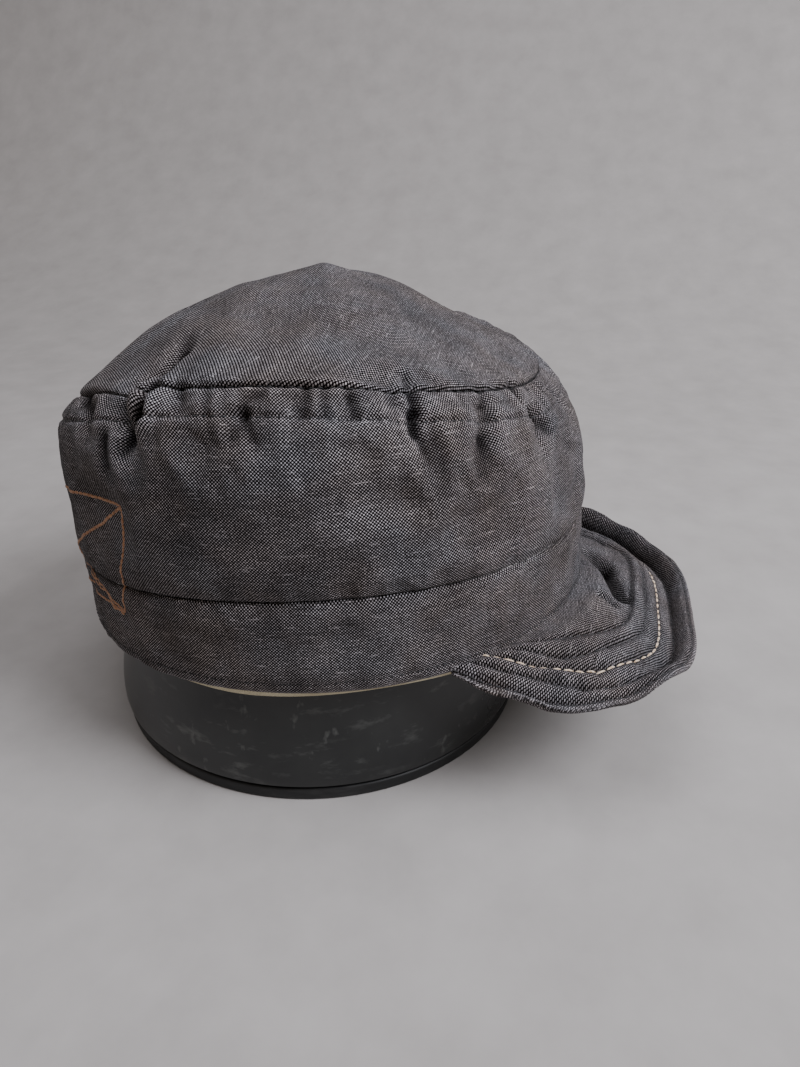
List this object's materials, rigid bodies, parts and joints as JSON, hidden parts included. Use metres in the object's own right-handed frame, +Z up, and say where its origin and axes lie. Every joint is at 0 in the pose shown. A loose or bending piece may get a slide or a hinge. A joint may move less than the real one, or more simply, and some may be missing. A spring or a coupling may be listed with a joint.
{
  "type": "patrol cap on a round display stand",
  "caption": "Soft cloth patrol cap with a gathered crown, plain band and short stitched brim, resting on a plain round domed stand.",
  "frame": {"origin": "centre of the stand's flat base, on the surface that it stands on", "axes": "+Z up, the brim points along -Y, the wearer's right is -X"},
  "size_m": [0.179, 0.2488, 0.174],
  "materials": {
    "chambray": "dark charcoal chambray plain weave with pale slubs, dark stitching and one contrast row",
    "cotton_tape": "cream cotton tape",
    "stand_slate": "smudged dark slate satin",
    "stand_black": "black rubbery base"
  },
  "bodies": {
    "root": {"crown_top": "chambray", "crown_side": "chambray", "band": "chambray", "brim": "chambray", "sweatband": "cotton_tape", "stand_form": "stand_slate", "stand_base": "stand_black"}
  },
  "joints": []
}
